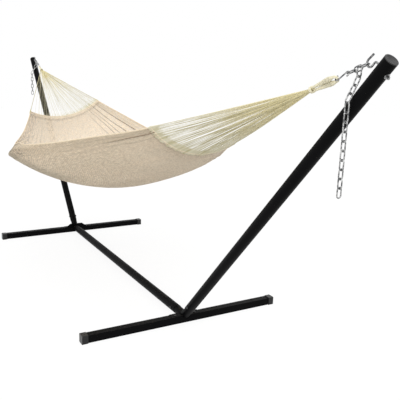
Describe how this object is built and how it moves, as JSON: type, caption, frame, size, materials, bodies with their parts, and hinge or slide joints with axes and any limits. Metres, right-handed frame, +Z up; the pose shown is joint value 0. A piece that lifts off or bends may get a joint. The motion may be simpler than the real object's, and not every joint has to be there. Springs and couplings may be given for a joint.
{
  "type": "hammock on stand",
  "caption": "Woven fabric hammock with fanned end strings, hung by hooks and chains between the sloping uprights of a free-standing tubular steel stand.",
  "frame": {"origin": "on the floor, midway between the two feet and under the middle of the bottom beam", "axes": "+X along the stand to the end with the longer rope loop, +Y to the back (the chain tails hang in front of the uprights), +Z up"},
  "size_m": [4.4384, 1.29, 1.409],
  "materials": {
    "black_steel": "satin black powder coat",
    "black_plastic": "moulded matte black plastic",
    "black_fasteners": "black coated steel",
    "zinc_steel": "bright zinc plate",
    "bed_cloth": "soft plain-woven cotton, beige",
    "cream_cord": "twisted cotton cord, cream"
  },
  "bodies": {
    "stand": {"bottom_beam": "black_steel", "right_foot": "black_steel", "right_foot_front_cap": "black_plastic", "right_foot_back_cap": "black_plastic", "right_foot_bracket": "black_steel", "right_elbow": "black_steel", "right_upright": "black_steel", "right_top_cap": "black_plastic", "right_hook": "zinc_steel", "right_hook_washer": "zinc_steel", "right_hook_nut": "zinc_steel", "left_foot": "black_steel", "left_foot_front_cap": "black_plastic", "left_foot_back_cap": "black_plastic", "left_foot_bracket": "black_steel", "left_elbow": "black_steel", "left_upright": "black_steel", "left_top_cap": "black_plastic", "left_hook": "zinc_steel", "left_hook_washer": "zinc_steel", "left_hook_nut": "zinc_steel", "bracket_screws": "black_fasteners", "bracket_nuts": "black_fasteners", "joint_bolts": "black_fasteners", "joint_nuts": "black_fasteners", "right_chain_links": "zinc_steel", "right_tail_top": "zinc_steel", "left_chain_links": "zinc_steel", "left_tail_top": "zinc_steel"},
    "hammock": {"hammock_bed": "bed_cloth", "right_end_link": "zinc_steel", "right_s_hook": "zinc_steel", "right_end_loop": "cream_cord", "right_end_wrap": "cream_cord", "right_strings": "cream_cord", "left_end_link": "zinc_steel", "left_s_hook": "zinc_steel", "left_end_loop": "cream_cord", "left_end_wrap": "cream_cord", "left_strings": "cream_cord"},
    "right_tail": {"right_tail_end": "zinc_steel"},
    "left_tail": {"left_tail_end": "zinc_steel"}
  },
  "joints": [
    {"name": "hammock_swing", "type": "hinge", "parent": "stand", "child": "hammock", "pos_m": [2.04856, 0.003, 1.35502], "axis": [1, 0, 0.001], "range_deg": [-25, 25]},
    {"name": "right_tail_swing", "type": "hinge", "parent": "stand", "child": "right_tail", "pos_m": [2.0745, -0.0433, 1.24799], "axis": [0, 1, 0], "range_deg": [-25, 25]},
    {"name": "left_tail_swing", "type": "hinge", "parent": "stand", "child": "left_tail", "pos_m": [-2.07554, -0.0433, 1.24538], "axis": [0, 1, 0], "range_deg": [-25, 25]}
  ]
}
